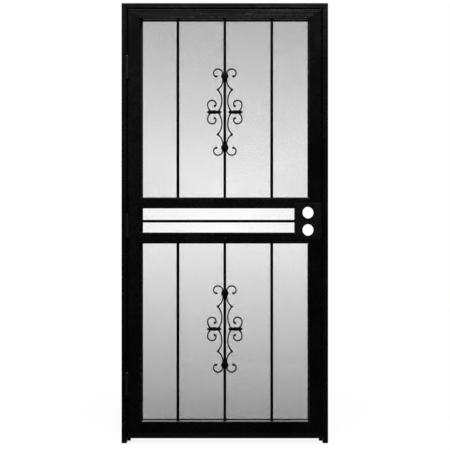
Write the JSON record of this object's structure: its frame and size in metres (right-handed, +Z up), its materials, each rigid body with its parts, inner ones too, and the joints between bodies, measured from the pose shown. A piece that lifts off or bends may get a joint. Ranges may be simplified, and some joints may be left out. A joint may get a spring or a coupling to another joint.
{
  "type": "steel security screen door",
  "caption": "Outswing steel security screen door in a tube frame: welded leaf with upright bars, scroll ornaments, metal screen and a bored lock box, hung on butt hinges.",
  "frame": {"origin": "on the outer side face of the hinge jamb, at floor level and half the jamb's depth", "axes": "+X from the hinge jamb to the strike jamb, +Y from outside to inside, +Z up"},
  "size_m": [0.958, 0.0638, 2.04],
  "materials": {
    "black_paint": "satin black powder coat",
    "ornament_castings": "satin black powder coat on castings",
    "hinge_steel": "satin black powder coat, worn on the pin tips",
    "sweep_channel": "satin black anodised look",
    "screen_mesh": "black coated expanded steel"
  },
  "bodies": {
    "door_frame": {"hinge_jamb": "black_paint", "strike_jamb": "black_paint", "head": "black_paint", "hinge_stop": "black_paint", "strike_stop": "black_paint", "head_stop": "black_paint", "lower_hinge_frame_half": "hinge_steel", "middle_hinge_frame_half": "hinge_steel", "upper_hinge_frame_half": "hinge_steel"},
    "door_leaf": {"bottom_rail": "black_paint", "bottom_sweep": "sweep_channel", "hinge_stile": "black_paint", "lock_box": "black_paint", "lock_stile_lower": "black_paint", "lock_stile_upper": "black_paint", "lower_bar_centre": "black_paint", "lower_bar_left": "black_paint", "lower_bar_right": "black_paint", "lower_hinge_leaf_half": "hinge_steel", "lower_mid_rail": "black_paint", "lower_rosettes": "ornament_castings", "lower_screen": "screen_mesh", "lower_screen_holders": "black_paint", "lower_scroll_left": "ornament_castings", "lower_scroll_right": "ornament_castings", "middle_bar": "black_paint", "middle_hinge_leaf_half": "hinge_steel", "middle_screen": "screen_mesh", "middle_screen_holders": "black_paint", "top_rail": "black_paint", "upper_bar_centre": "black_paint", "upper_bar_left": "black_paint", "upper_bar_right": "black_paint", "upper_hinge_leaf_half": "hinge_steel", "upper_mid_rail": "black_paint", "upper_rosettes": "ornament_castings", "upper_screen": "screen_mesh", "upper_screen_holders": "black_paint", "upper_scroll_left": "ornament_castings", "upper_scroll_right": "ornament_castings"}
  },
  "joints": [
    {"name": "leaf_swing", "type": "hinge", "parent": "door_frame", "child": "door_leaf", "pos_m": [0.0275, -0.0324, 0], "axis": [0, 0, -1], "range_deg": [0, 170]}
  ]
}
